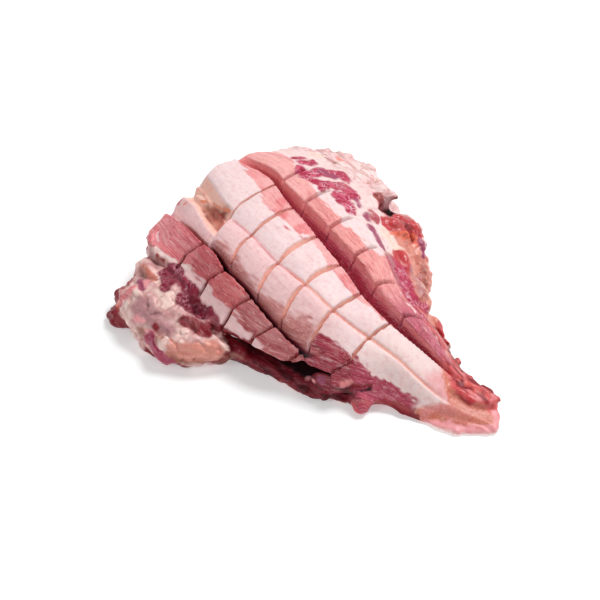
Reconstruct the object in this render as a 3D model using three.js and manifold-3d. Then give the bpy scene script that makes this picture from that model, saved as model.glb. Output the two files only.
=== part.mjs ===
// A raw pork jowl: a triangular slab of cheek, laid down with its outer fat side up and scored
// right across in a lattice. Millimetres, +Z up, +X from the broad end to the narrow tip.
import * as THREE from "three";
import { mergeVertices } from "three/addons/utils/BufferGeometryUtils.js";
import Module from "manifold-3d";

// ---------------------------------------------------------------- driving dimensions

// Cross cuts: where each one crosses the long axis, and how far it leans (dx for each dy).
const CROSS_CUTS = [
  { x: -76, lean: 0 },
  { x: -45, lean: 0 },
  { x: -12, lean: 0 },
  { x: 18, lean: 0.04 },
  { x: 46, lean: 0.1 },
  { x: 75, lean: 0.15 },
];
const CROSS_CUT_DEPTH = 11;
const CROSS_CUT_HALF_WIDTH = 2.4;
const CROSS_CUT_FADE_LEFT = [-2, 3]; // past the left rim, where a cross cut starts to bite and is full
const CROSS_CUT_FADE_RIGHT = [-4, 12]; // past the right strip's edge, where it fades and is gone
const CUT_SWING = 0.23; // how far each cut swings towards the tip across the left tiles (dx for each dy)
const STRIP_SWING = 0.9; // and back again across the left strip
const STRIP_SWING_REACH = 14;
// The two deep cuts along the slab: where each starts, is full depth from and to, and ends.
const LEFT_CUT_RUN = [-122, -108, 46, 62];
const LEFT_CUT_DEPTH = 24;
const LEFT_CUT_HALF_WIDTH = 3.6;
const LEFT_CUT_HALF_WIDTH_AT_ENDS = 0.8;
const LEFT_STRIP_LEAST = 8; // the left strip is nowhere narrower than this
const RIGHT_CUT_RUN = [-128, -88, 102, 136];
const RIGHT_CUT_DEPTH = 24;
const RIGHT_CUT_FLOOR = 0.35; // where its floor lies, from its left lip to its right one
const CREASE_END = [118, 148]; // where the crease starts to fade, and where it is gone
const CREASE_DEPTH = 3;
const CREASE_HALF_WIDTH = 2.2;
const TILE_BULGE = 2.2; // how far the middle of a tile stands over its edges
const EDGE_ROUNDING = 13; // how far in from the outline the outer face starts to fall
const EDGE_DROP = 9;
const UNDER_ROUNDING = 16; // how far in from the outline the underside starts to rise
const UNDER_RISE = 7;
const THIN_END = [90, 130]; // along here the underside goes flat right out to its edge
const OVERHANG_RUN = [-34, -12, 66, 92];
const OVERHANG_RISE = 27; // the cut left side stands this far over the flap below it
const OVERHANG_REACH = 26; // over this far from its root
const OVERHANG_ROOT = 26; // which lies this far left of the right cut
const LEAST_THICKNESS = 3;
const BACK_END = -146; // the sheet that becomes the slab runs past the outline
const TIP_END = 186;
const LEFT_END = -84;
const RIGHT_END = 158;
const TIP_END_LEAN = 0.3;
const PRISM = { bottom: -10, height: 120 }; // the outline is cut out of the sheet by this
const TABLE = { width: 600, height: 100 }; // wide enough to lie under the whole slab

// How finely the face is divided: along each row of tiles, and across each strip.
const FIRST_ROW_STEPS = 8;
const ROW_STEPS = 4;
const LAST_ROW_STEPS = 11;
const TILE_STEPS = 4;
const SIDE_STEPS = 3;

// Plan outline of the scored slab, from the tip round the right side, the broad end and the left.
const OUTLINE = [
  [175, 31], [166, 42], [156, 48], [147, 44], [139, 48], [128, 51], [116, 57], [108, 58],
  [97, 63], [80, 69], [68, 73], [59, 80], [53, 93], [43, 106], [31, 117], [17, 123],
  [4, 131], [-12, 134], [-28, 140], [-52, 144], [-80, 137], [-100, 122], [-113, 100], [-118, 77],
  [-125, 56], [-130, 33], [-130, 16], [-139, -2], [-136, -22], [-133, -41], [-116, -54], [-75, -57],
  [-45, -62], [-24, -67], [-6, -65], [13, -64], [30, -57], [42, -51], [48, -44], [56, -43],
  [67, -40], [77, -35], [84, -30], [91, -31], [97, -24], [107, -15], [119, -12], [130, -5],
  [140, 3], [152, 8], [165, 13], [174, 22],
];

// Lines along the outer face, each as [x, y, z] from the broad end to the tip.
const LEFT_RIM = [
  [-135, -36, 44], [-104, -51, 44], [-75, -54, 42], [-45, -60, 38], [-24, -66, 33], [12, -62, 32],
  [42, -50, 30], [50, -43, 33], [66, -40, 28], [77, -34, 25], [88, -26, 18], [104, -14, 10],
  [121, -8, 5], [150, 6, 4], [175, 20, 4],
];
const LEFT_CUT = [
  [-135, -18, 50], [-110, -23, 59], [-58, -33, 65], [-34, -37, 62], [-6, -40, 57], [24, -43, 50],
  [47, -39, 42], [66, -30, 40], [79, -24, 36], [100, -8, 24], [125, -1, 11], [150, 11, 7], [175, 23, 4],
];
const CREASE = [
  [-135, 12, 71], [-77, -5, 74], [-46, -8, 75], [-14, -12, 72], [17, -12, 67], [47, -10, 58],
  [79, -2, 45], [100, 4, 36], [118, 8, 27], [140, 14, 15], [175, 28, 6],
];
const RIGHT_CUT = [
  [-135, 46, 74], [-88, 48, 75], [-55, 37, 76], [-21, 31, 72], [30, 21, 62], [60, 15, 55],
  [85, 18, 45], [105, 24, 35], [126, 31, 22], [150, 36, 10], [175, 34, 6],
];
const RIGHT_LIP = [
  [-135, 55, 73], [-88, 59, 74], [-72, 54, 74], [-24, 46, 71], [17, 40, 65], [33, 37, 62],
  [66, 29, 53], [87, 30, 44], [105, 32, 35], [126, 34, 22], [150, 39, 10], [175, 37, 6],
];
const RIGHT_STRIP = [
  [-135, 72, 71], [-86, 83, 71], [-45, 76, 70], [-14, 69, 66], [5, 67, 62], [27, 61, 57],
  [52, 50, 50], [68, 46, 43], [85, 47, 35], [99, 46, 29], [126, 42, 17], [150, 42, 9], [175, 40, 5],
];
const RIGHT_SHOULDER = [
  [-135, 92, 62], [-100, 106, 65], [-57, 112, 61], [-30, 111, 57], [-9, 102, 51], [20, 88, 42],
  [48, 73, 37], [75, 59, 31], [99, 54, 23], [126, 47, 13], [150, 45, 7], [175, 42, 5],
];
const RIGHT_RIM = [
  [-135, 108, 52], [-100, 122, 58], [-60, 139, 49], [-39, 143, 40], [-10, 135, 30], [20, 124, 25],
  [41, 110, 19], [58, 88, 16], [76, 68, 16], [99, 60, 13], [126, 52, 9], [150, 48, 5], [175, 44, 4],
];
// Where the mid crease opens into a gap, the left tile of the first row has sunk.
const SUNK_TILE_DROP = 12;
const SUNK_TILE_RUN = [-78, -72];
const SUNK_GAP_DEPTH = 18;
const SUNK_GAP_HALF_WIDTH = 6;

// Soft lumps and scraps that hang on the slab: centre, radii, turn about Z in degrees, roughness.
const LUMPS = [
  { at: [-82, -66, 14], radii: [38, 37, 26], turn: -8, rough: 0.05 },
  { at: [-54, -78, 11], radii: [34, 27, 19], turn: 8, rough: 0.06 },
  { at: [-100, -91, 9], radii: [13, 14, 11], turn: 20, rough: 0.08 },
  { at: [-112, -85, 14], radii: [9, 8, 9], turn: 0, rough: 0.08 },
  { at: [-29, -77, 11], radii: [26, 12, 13], turn: 41, rough: 0.06 },
  { at: [-58, -96, 7], radii: [15, 9, 9], turn: 12, rough: 0.08 },
  { at: [-110, -62, 30], radii: [9, 9, 7], turn: 60, rough: 0.08 },
  { at: [-40, -74, 25], radii: [15, 7, 7], turn: 10, rough: 0.08 },
  { at: [32, -27, 4], radii: [55, 28, 9], turn: 8, rough: 0.04 },
  { at: [0, -52, 5], radii: [24, 8, 6], turn: 8, rough: 0.06 },
  { at: [91, -26, 6], radii: [9, 6, 6], turn: -30, rough: 0.1 },
  { at: [66, -36, 15], radii: [13, 5, 8], turn: 16, rough: 0.12 },
  { at: [-39, 130, 41], radii: [15, 9, 10], turn: -15, rough: 0.07 },
  { at: [-14, 95, 48], radii: [9, 8, 8], turn: 0, rough: 0.1 },
  { at: [-2, 121, 26], radii: [16, 12, 13], turn: -25, rough: 0.1 },
  { at: [15, 118, 22], radii: [13, 9, 10], turn: -30, rough: 0.12 },
  { at: [36, 98, 17], radii: [21, 12, 12], turn: -45, rough: 0.07 },
  { at: [30, 83, 37], radii: [15, 8, 9], turn: -30, rough: 0.07 },
  { at: [55, 71, 29], radii: [23, 9, 9], turn: -25, rough: 0.07 },
  { at: [149, 42, 8], radii: [14, 8, 6], turn: 12, rough: 0.1 },
];
const LUMP_DETAIL = 3;
const SMALL_LUMP = 12; // lumps no longer than this are given less detail
const SMALL_LUMP_DETAIL = 2;
const DARK_POCKET = { at: [-20, 132, 36], radii: [9, 12, 9], turn: -20, rough: 0 };

// ---------------------------------------------------------------- small maths

const clamp = (v, low, high) => Math.min(high, Math.max(low, v));
const mix = (a, b, t) => a + (b - a) * t;
const smooth = (t) => {
  const c = clamp(t, 0, 1);
  return c * c * (3 - 2 * c);
};
const rise = (v, from, to) => smooth((v - from) / (to - from));

// A monotone cubic through (xs, ys), held flat past its ends, so that it never overshoots.
function curveThrough(xs, ys) {
  const n = xs.length;
  const slope = xs.slice(1).map((x, i) => (ys[i + 1] - ys[i]) / (x - xs[i]));
  const tangent = ys.map((_, i) => {
    if (i === 0 || i === n - 1) return 0;
    const [a, b] = [slope[i - 1], slope[i]];
    return a * b <= 0 ? 0 : (2 * a * b) / (a + b);
  });
  return (x) => {
    if (x <= xs[0]) return ys[0];
    if (x >= xs[n - 1]) return ys[n - 1];
    let i = 0;
    while (x > xs[i + 1]) i++;
    const h = xs[i + 1] - xs[i];
    const t = (x - xs[i]) / h;
    const [t2, t3] = [t * t, t * t * t];
    return (
      (2 * t3 - 3 * t2 + 1) * ys[i] +
      (t3 - 2 * t2 + t) * h * tangent[i] +
      (3 * t2 - 2 * t3) * ys[i + 1] +
      (t3 - t2) * h * tangent[i + 1]
    );
  };
}

// A line along the slab, as functions of x for its y and z.
function lineThrough(knots) {
  const xs = knots.map((k) => k[0]);
  return {
    y: curveThrough(xs, knots.map((k) => k[1])),
    z: curveThrough(xs, knots.map((k) => k[2])),
  };
}

// ---------------------------------------------------------------- the outer face

const LINES = [LEFT_RIM, LEFT_CUT, CREASE, RIGHT_CUT, RIGHT_LIP, RIGHT_STRIP, RIGHT_SHOULDER, RIGHT_RIM]
  .map(lineThrough);
const [leftRim, leftCut, crease, rightCut, rightLip, rightStrip, rightShoulder, rightRim] = LINES;

// Height of the whole outer face before it was cut.
function faceHeight(x, y) {
  return curveThrough(LINES.map((l) => l.y(x)), LINES.map((l) => l.z(x)))(y);
}

const outline = new THREE.CatmullRomCurve3(
  OUTLINE.map(([x, y]) => new THREE.Vector3(x, y, 0)),
  true,
  "centripetal",
).getPoints(OUTLINE.length * 2);
outline.pop();

// How far (x, y) lies inside the plan outline: negative outside it.
function inside(x, y) {
  let nearest = Infinity;
  let within = false;
  outline.forEach((a, i) => {
    const b = outline[(i + 1) % outline.length];
    const [ex, ey] = [b.x - a.x, b.y - a.y];
    const t = clamp(((x - a.x) * ex + (y - a.y) * ey) / (ex * ex + ey * ey), 0, 1);
    nearest = Math.min(nearest, Math.hypot(x - a.x - t * ex, y - a.y - t * ey));
    if (a.y > y !== b.y > y && x < a.x + ((y - a.y) / ey) * ex) within = !within;
  });
  return within ? nearest : -nearest;
}

// 1 where something that runs along the slab is full, fading to 0 where it runs out.
const along = (x, [start, fullFrom, fullTo, end]) => rise(x, start, fullFrom) * (1 - rise(x, fullTo, end));
const creaseFull = (x) => 1 - rise(x, ...CREASE_END);
const sunk = (x) => 1 - rise(x, ...SUNK_TILE_RUN);

// How far a cross cut swings towards the tip at (x, y).
function swing(x, y) {
  const [yl, yc] = [leftCut.y(x), crease.y(x)];
  return CUT_SWING * clamp(yc - y, 0, yc - yl) - STRIP_SWING * clamp(yl - y, 0, STRIP_SWING_REACH);
}

// How much of its depth a cross cut has at (x, y): it fades out over the fat on the right.
function crossCutFull(x, y) {
  const fromLeft = rise(y - leftRim.y(x), ...CROSS_CUT_FADE_LEFT);
  const pastRight = rise(y - rightStrip.y(x), ...CROSS_CUT_FADE_RIGHT);
  return fromLeft * (1 - pastRight);
}

// Stations along the slab: some to each row of tiles, and three for each cut.
function stations() {
  const list = [];
  const run = (from, to, lean0, lean1, n) => {
    for (let i = 1; i < n; i++) {
      list.push({ x: mix(from, to, i / n), lean: mix(lean0, lean1, i / n), cut: 0 });
    }
  };
  const w = CROSS_CUT_HALF_WIDTH;
  list.push({ x: BACK_END, lean: 0, cut: 0 });
  let [from, lean] = [BACK_END, 0];
  CROSS_CUTS.forEach((c, k) => {
    run(from, c.x - w, lean, c.lean, k === 0 ? FIRST_ROW_STEPS : ROW_STEPS);
    list.push({ x: c.x - w, lean: c.lean, cut: 0 });
    list.push({ x: c.x, lean: c.lean, cut: 1 });
    list.push({ x: c.x + w, lean: c.lean, cut: 0 });
    [from, lean] = [c.x + w, c.lean];
  });
  run(from, TIP_END, lean, TIP_END_LEAN, LAST_ROW_STEPS);
  list.push({ x: TIP_END, lean: TIP_END_LEAN, cut: 0 });
  return list;
}

// Points across the slab at one x: y, how deep it is cut there, and how far through a tile it lies.
function across(x) {
  const list = [];
  const add = (y, depth = 0, through = 0, drop = 0) => list.push({ y, depth, through, drop });
  const span = (a, b, n, bulge, drop = 0) => {
    for (let i = 1; i < n; i++) add(mix(a, b, i / n), 0, bulge ? i / n : 0, drop);
  };
  const dropped = SUNK_TILE_DROP * sunk(x);
  const gap = mix(CREASE_HALF_WIDTH, SUNK_GAP_HALF_WIDTH, sunk(x));
  const leftFull = along(x, LEFT_CUT_RUN);
  const lw = mix(LEFT_CUT_HALF_WIDTH_AT_ENDS, LEFT_CUT_HALF_WIDTH, leftFull);
  const [yl, yc, yr, yp] = [leftCut.y(x), crease.y(x), rightCut.y(x), rightLip.y(x)];
  const rimY = Math.min(leftRim.y(x), yl - LEFT_STRIP_LEAST);
  add(LEFT_END);
  add(mix(LEFT_END, rimY, 0.7));
  add(rimY);
  span(rimY, yl - lw, TILE_STEPS, true);
  add(yl - lw);
  add(yl, LEFT_CUT_DEPTH * leftFull, 0, dropped / 2);
  add(yl + lw, 0, 0, dropped);
  span(yl + lw, yc - gap, TILE_STEPS, true, dropped);
  add(yc - gap, 0, 0, dropped);
  add(yc, mix(CREASE_DEPTH * creaseFull(x), SUNK_GAP_DEPTH, sunk(x)));
  add(yc + CREASE_HALF_WIDTH);
  span(yc + CREASE_HALF_WIDTH, yr, TILE_STEPS, true);
  add(yr);
  add(mix(yr, yp, RIGHT_CUT_FLOOR), RIGHT_CUT_DEPTH * along(x, RIGHT_CUT_RUN));
  add(yp);
  const ys = rightStrip.y(x);
  const yh = rightShoulder.y(x);
  const ye = rightRim.y(x);
  span(yp, ys, TILE_STEPS, true);
  add(ys);
  span(ys, yh, SIDE_STEPS, false);
  add(yh);
  span(yh, ye, SIDE_STEPS, false);
  add(ye);
  add(mix(ye, RIGHT_END, 0.5));
  add(RIGHT_END);
  return list;
}

// The top of the slab at one grid point, cuts included.
function topPoint(station, t) {
  const x = station.x + station.lean * t.y + swing(station.x, t.y);
  const pillow = TILE_BULGE * 4 * t.through * (1 - t.through);
  const cross = station.cut * CROSS_CUT_DEPTH * crossCutFull(x, t.y);
  const d = inside(x, t.y);
  const fall = EDGE_DROP * (1 - Math.sqrt(1 - (1 - clamp(d / EDGE_ROUNDING, 0, 1)) ** 2));
  const z = faceHeight(x, t.y) + pillow - Math.max(t.depth, cross) - t.drop - fall;
  return [x, t.y, Math.max(z, underside(x, t.y) + LEAST_THICKNESS)];
}

// The underside: flat where it rests, rounded up at the edges, and high under the cut left side.
function underside(x, y) {
  const d = inside(x, y);
  const thick = 1 - rise(x, ...THIN_END);
  const edge = UNDER_RISE * thick * (1 - clamp(d / UNDER_ROUNDING, 0, 1)) ** 2;
  const out = rightCut.y(x) - OVERHANG_ROOT - y;
  const over = OVERHANG_RISE * along(x, OVERHANG_RUN) * smooth(out / OVERHANG_REACH);
  return Math.max(edge, over);
}

// ---------------------------------------------------------------- meshes and solids

const wasm = await Module();
wasm.setup();

function solidFrom(geometry) {
  const bare = geometry.clone();
  bare.deleteAttribute("normal");
  bare.deleteAttribute("uv");
  const merged = mergeVertices(bare, 1e-4);
  return new wasm.Manifold(
    new wasm.Mesh({
      numProp: 3,
      vertProperties: new Float32Array(merged.attributes.position.array),
      triVerts: new Uint32Array(merged.index.array),
    }),
  );
}

// A closed sheet of rows by columns of points, with a top and a bottom of the same plan.
function closedSheet(tops, bottoms) {
  const [rows, columns] = [tops.length, tops[0].length];
  const layer = rows * columns;
  const position = new Float32Array([...tops.flat(2), ...bottoms.flat(2)]);
  const index = [];
  const quad = (a, b, c, d) => index.push(a, b, c, a, c, d);
  const id = (r, c) => r * columns + c;
  for (let r = 0; r + 1 < rows; r++) {
    for (let c = 0; c + 1 < columns; c++) {
      quad(id(r, c), id(r + 1, c), id(r + 1, c + 1), id(r, c + 1));
      quad(layer + id(r, c), layer + id(r, c + 1), layer + id(r + 1, c + 1), layer + id(r + 1, c));
    }
    quad(id(r, 0), layer + id(r, 0), layer + id(r + 1, 0), id(r + 1, 0));
    const e = columns - 1;
    quad(id(r, e), id(r + 1, e), layer + id(r + 1, e), layer + id(r, e));
  }
  for (let c = 0; c + 1 < columns; c++) {
    quad(id(0, c), id(0, c + 1), layer + id(0, c + 1), layer + id(0, c));
    const e = rows - 1;
    quad(id(e, c), layer + id(e, c), layer + id(e, c + 1), id(e, c + 1));
  }
  return new THREE.BufferGeometry()
    .setAttribute("position", new THREE.BufferAttribute(position, 3))
    .setIndex(index);
}

function slab() {
  const tops = stations().map((s) => across(s.x).map((t) => topPoint(s, t)));
  const bottoms = tops.map((row) => row.map(([x, y]) => [x, y, underside(x, y)]));
  const sheet = solidFrom(closedSheet(tops, bottoms));
  const shape = new THREE.Shape(outline.map((p) => new THREE.Vector2(p.x, p.y)));
  const prism = new THREE.ExtrudeGeometry(shape, { depth: PRISM.height, bevelEnabled: false });
  prism.translate(0, 0, PRISM.bottom);
  return sheet.intersect(solidFrom(prism));
}

// Smooth bumps over a unit sphere, the same on every run.
function bumps(p, phase) {
  const wave = (a, b, c, f) => Math.sin(f * (a * p.x + b * p.y + c * p.z) + phase * (a + 2 * b + 3 * c));
  return (wave(1, 0.4, -0.3, 5) + wave(-0.5, 1, 0.6, 6.3) + wave(0.3, -0.7, 1, 7.1)) / 1.5;
}

function lump({ at, radii, turn, rough }, k) {
  const detail = Math.max(...radii) > SMALL_LUMP ? LUMP_DETAIL : SMALL_LUMP_DETAIL;
  const ball = new THREE.IcosahedronGeometry(1, detail);
  const position = ball.attributes.position;
  const p = new THREE.Vector3();
  for (let i = 0; i < position.count; i++) {
    p.fromBufferAttribute(position, i);
    p.multiplyScalar(1 + rough * bumps(p, k + 1));
    position.setXYZ(i, p.x, p.y, p.z);
  }
  ball.scale(...radii);
  ball.rotateZ(THREE.MathUtils.degToRad(turn));
  ball.translate(...at);
  return solidFrom(ball);
}

// Everything under the table top is taken off, so the jowl rests on one flat face.
function tableTop() {
  const box = new THREE.BoxGeometry(TABLE.width, TABLE.width, TABLE.height);
  box.translate(0, 0, -TABLE.height / 2);
  return solidFrom(box);
}

function jowl() {
  let whole = slab();
  LUMPS.forEach((l, k) => {
    whole = whole.add(lump(l, k));
  });
  whole = whole.subtract(lump(DARK_POCKET, 0)).subtract(tableTop());
  const biggest = whole.decompose().sort((a, b) => b.volume() - a.volume())[0];
  const mesh = biggest.getMesh();
  const geometry = new THREE.BufferGeometry()
    .setAttribute("position", new THREE.BufferAttribute(mesh.vertProperties, 3))
    .setIndex(new THREE.BufferAttribute(mesh.triVerts, 1));
  geometry.computeVertexNormals();
  return geometry;
}

const meat = new THREE.MeshStandardMaterial({ color: 0xdfa9a6, roughness: 0.45, metalness: 0 });
const body = new THREE.Mesh(jowl(), meat);
body.name = "jowl";

const part = new THREE.Group();
part.name = "pork_jowl";
part.add(body);

// The origin is under the middle of the whole, on the surface that it rests on.
const box = new THREE.Box3().setFromObject(part);
body.position.set(-(box.min.x + box.max.x) / 2, -(box.min.y + box.max.y) / 2, -box.min.z);

export default part;
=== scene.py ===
"""A raw pork jowl, scored right across in a lattice, on a pale floor.

The meat is one closed mesh, worked out in millimetres from the same guide lines as the CAD solid:
a field that is positive inside the meat is sampled on a grid, skinned and smoothed. Lean, fat and
rind are then painted on its vertices by where they lie, and the material turns that into colour.
"""

import itertools
import math

import bpy
import numpy as np
from mathutils import Matrix, Vector


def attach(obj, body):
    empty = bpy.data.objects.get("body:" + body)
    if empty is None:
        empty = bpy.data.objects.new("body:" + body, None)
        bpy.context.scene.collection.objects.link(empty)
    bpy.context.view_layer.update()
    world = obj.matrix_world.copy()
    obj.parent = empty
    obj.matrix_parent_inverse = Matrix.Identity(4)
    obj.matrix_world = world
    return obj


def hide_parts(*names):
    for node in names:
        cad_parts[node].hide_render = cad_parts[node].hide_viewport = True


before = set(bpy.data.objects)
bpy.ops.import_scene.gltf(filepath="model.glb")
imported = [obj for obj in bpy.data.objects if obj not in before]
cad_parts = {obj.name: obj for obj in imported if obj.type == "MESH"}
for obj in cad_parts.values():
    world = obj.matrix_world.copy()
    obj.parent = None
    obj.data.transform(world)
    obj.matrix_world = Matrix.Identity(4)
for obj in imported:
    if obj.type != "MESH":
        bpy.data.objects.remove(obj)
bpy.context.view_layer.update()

# ---------- sizes, in millimetres

ORIGIN = (18.17, 18.99)  # where the part's origin lies in the guide lines' own coordinates
VOXEL = 0.9  # of the grid that the field is sampled on
GRID_LOW = (-146.0, -116.0)
GRID_HIGH = (184.0, 154.0)
GRID_TOP = 84.0

# Cross cuts: where each crosses the long axis, how far it leans (dx for each dy), and its half width.
CROSS_CUTS = [(-76, 0, 1.0), (-45, 0, 2.6), (-12, 0, 4.6), (18, 0.04, 4.4), (46, 0.1, 2.2), (75, 0.15, 1.3)]
CROSS_DEPTH = 11.0
ROWS_FROM = -111.0  # where the first row starts
ROWS_TO = 180.0  # and the last one ends
CUT_SWING = 0.23  # how far each cut swings towards the tip across the left tiles (dx for each dy)
STRIP_SWING = 0.9  # and back again across the left strip
STRIP_SWING_REACH = 14.0
SIDE_HALF = 2.6  # half width of a cross cut on the two outer strips
SLOT_HALF = 0.5
LEFT_DEPTH = 25.0
LEFT_HALF = 2.6
LEFT_SPAN = (-122, 62)  # where along the slab the left cut starts and ends
RIGHT_DEPTH = 25.0
RIGHT_SPAN = (-132, 136)
CREASE_DEPTH = 2.0
CREASE_HALF = 1.4
VALLEY = 3.4  # how far the tiles sink towards the crease at the broad end
GAP_DEPTH = 7.0  # of the gap beside the sunk tile
SUNK_DROP = 9.0
SUNK_END = -72.0
OVERHANG_RISE = 27.0
OVERHANG_REACH = 26.0
OVERHANG_ROOT = 52.0  # how far left of the right cut it starts
OVERHANG_SPAN = (-34, 92)
TILE_CROWNS = (1.8, 1.6)  # how far the left and the right middle tiles bulge across
ROW_CROWN = 0.8  # and every row along the slab
STRIP_CROWNS = (1.2, 0.9)  # and the left and the right strip

# Where the paint changes along the slab.
TILE_LEAN_END = 96
STRIP_END = 142
LEFT_STRIP_END = 52
RIND_START = 120
WEDGE_TIP = (142, 13)  # the point at which the fat runs out in the rind

# The lit rim of the flap under the overhang, where the painted shadow stops: a bow across y at FLAP_NEAR.
FLAP_MIDDLE = 32
FLAP_HALF = 56
FLAP_NEAR = -54
FLAP_LEAN = 0.14
FLAP_BOW = 27
FLAP_RIM_WIDTH = 8

OUTLINE = [
    (175, 31), (166, 42), (156, 48), (147, 44), (139, 48), (128, 51), (116, 57), (108, 58),
    (97, 63), (80, 69), (68, 73), (59, 80), (53, 93), (43, 106), (31, 117), (17, 123),
    (4, 131), (-12, 134), (-28, 140), (-52, 144), (-80, 137), (-100, 122), (-113, 100), (-118, 77),
    (-125, 56), (-130, 33), (-130, 16), (-139, -2), (-136, -22), (-133, -41), (-116, -54), (-75, -57),
    (-45, -62), (-24, -67), (-6, -65), (13, -64), (30, -57), (42, -51), (48, -44), (56, -43),
    (67, -40), (77, -35), (84, -30), (91, -31), (97, -24), (107, -15), (119, -12), (130, -5),
    (140, 3), (152, 8), (165, 13), (174, 22),
]

# Lines along the outer face, (x, y, z) from the broad end to the tip.
LINES = {
    "left_rim": [
        (-135, -36, 44), (-104, -51, 44), (-75, -54, 42), (-45, -60, 38), (-24, -66, 33), (12, -62, 32),
        (42, -50, 30), (50, -43, 33), (66, -40, 28), (77, -34, 25), (88, -26, 18), (104, -14, 10),
        (121, -8, 5), (150, 6, 4), (175, 20, 4)],
    "left_cut": [
        (-135, -18, 50), (-110, -23, 59), (-58, -33, 65), (-34, -37, 62), (-6, -40, 57), (24, -43, 50),
        (47, -39, 42), (66, -30, 40), (79, -24, 36), (100, -8, 24), (125, -1, 11), (150, 11, 7),
        (175, 23, 4)],
    "crease": [
        (-135, 12, 71), (-77, -5, 74), (-46, -8, 75), (-14, -12, 72), (17, -12, 67), (47, -10, 58),
        (79, -2, 45), (100, 4, 36), (118, 8, 27), (140, 14, 15), (175, 28, 6)],
    "right_cut": [
        (-135, 46, 74), (-88, 48, 75), (-55, 37, 76), (-21, 31, 72), (30, 21, 62), (60, 15, 55),
        (85, 18, 45), (105, 24, 35), (126, 31, 22), (150, 36, 10), (175, 34, 6)],
    "right_lip": [
        (-135, 55, 73), (-88, 59, 74), (-72, 54, 74), (-24, 46, 71), (17, 40, 65), (33, 37, 62),
        (66, 29, 53), (87, 30, 44), (105, 32, 35), (126, 34, 22), (150, 39, 10), (175, 37, 6)],
    "right_strip": [
        (-135, 72, 71), (-86, 83, 71), (-45, 76, 70), (-14, 69, 66), (5, 67, 62), (27, 61, 57),
        (52, 50, 50), (68, 46, 43), (85, 47, 35), (99, 46, 29), (126, 42, 17), (150, 42, 9), (175, 40, 5)],
    "shoulder": [
        (-135, 92, 62), (-100, 106, 65), (-57, 112, 61), (-30, 111, 57), (-9, 102, 51), (20, 88, 42),
        (48, 73, 37), (75, 59, 31), (99, 54, 23), (126, 47, 13), (150, 45, 7), (175, 42, 5)],
    "right_rim": [
        (-135, 108, 52), (-100, 122, 58), (-60, 139, 49), (-39, 143, 40), (-10, 135, 30), (20, 124, 25),
        (41, 110, 19), (58, 88, 16), (76, 68, 16), (99, 60, 13), (126, 52, 9), (150, 48, 5), (175, 44, 4)],
}

# Lobes and scraps that are fused to the slab: centre, radii, turn about Z in degrees.
LUMPS = [
    ((-82, -66, 14), (38, 37, 26), -8),
    ((-54, -78, 11), (34, 27, 19), 8),
    ((-100, -91, 9), (13, 14, 11), 20),
    ((-112, -85, 14), (9, 8, 9), 0),
    ((-29, -77, 11), (26, 12, 13), 41),
    ((-58, -96, 7), (15, 9, 9), 12),
    ((-110, -62, 30), (9, 9, 7), 60),
    ((-40, -74, 25), (15, 7, 7), 10),
    ((32, -27, 4), (55, 28, 9), 8),
    ((0, -52, 5), (24, 8, 6), 8),
    ((91, -26, 6), (9, 6, 6), -30),
    ((66, -36, 15), (13, 5, 8), 16),
    ((-39, 130, 41), (15, 9, 10), -15),
    ((-14, 95, 48), (9, 8, 8), 0),
    ((-2, 121, 26), (16, 12, 13), -25),
    ((15, 118, 22), (13, 9, 10), -30),
    ((36, 98, 17), (21, 12, 12), -45),
    ((30, 83, 37), (15, 8, 9), -30),
    ((55, 71, 29), (23, 9, 9), -25),
    ((149, 42, 8), (14, 8, 6), 12),
]
KNOBS = [
    ((-102, -99, 5), (12, 8, 7), 0),
    ((150, 8, 2), (17, 6, 3), 28),
    ((-12, -60, 13), (14, 6, 8), 10),
    ((-101, -67, 37), (9, 5, 5), -20),
    ((-36, -75, 30), (12, 4, 5), 14),
    ((-46, -101, 11), (9, 6, 10), 0),
    ((-108, 3, 55), (20, 4, 6), -6),
    ((-27, -83, 17), (25, 10, 12), 38),
    ((-32, 122, 47), (13, 11, 10), -40),
    ((-52, 126, 48), (12, 9, 7), 0),
    ((-24, 126, 42), (6, 7, 8), 0),
    ((-8, 88, 56), (6, 5, 5), 0),
    ((2, 104, 40), (8, 9, 10), 0),
    ((6, 119, 34), (8, 7, 8), 0),
    ((11, 108, 36), (4, 3, 4), 0),
    ((12, 116, 33), (4, 3, 4), 0),
    ((145, 36, 11), (11, 6, 6), 10),
    ((137, 25, 16), (4, 3, 4), 30),
    ((143, 27, 15), (4, 3, 4), 30),
    ((150, 29, 12), (5, 3, 4), 30),
    ((156, 36, 11), (4, 4, 3), -20),
    ((98, 61, 11), (8, 3, 5), -30),
    ((86, 66, 14), (7, 3, 5), -30),
    ((118, 51, 12), (9, 4, 6), -20),
    ((135, 46, 10), (9, 3, 6), 0),
]
HOLLOWS = [
    ((-20, 132, 36), (9, 12, 9), -20),
    ((-15, 114, 48), (6, 14, 12), 12),
    ((-2, -64, 28), (26, 3.5, 4), 14),
]

# Where lean meets fat on the scored face, as lines (x, y).
LEAN_MARGIN = [
    (-123, 44), (-91, 38), (-78, 30), (-50, 18), (-36, 17), (-19, 19), (-7, 21), (16, 15), (47, 12),
    (70, 14), (100, 23)]
STRIP_FAT = [
    (-110, 84), (-74, 71), (-55, 67), (-25, 58), (-6, 55), (7, 55), (30, 58), (52, 64), (80, 70), (142, 60)]
LEFT_FAT = [
    (-118, -50), (-101, -51), (-76, -49), (-62, -50), (-42, -51), (-30, -54), (-15, -54), (5, -57), (13, -58),
    (36, -58)]
TIP_LEAN = [(40, -31), (58, -25), (76, -20), (91, -15), (110, -5), (120, -2), (128, 2)]
TORN_EDGE = [(112, 31), (128, 26), (136, 21), (148, 23), (158, 30), (176, 33)]
TILE_ENDS = [(-70, -34), (-62, -32), (-53, -30), (-37, -34), (-14, -38), (20, -38), (41, -31)]
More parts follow.
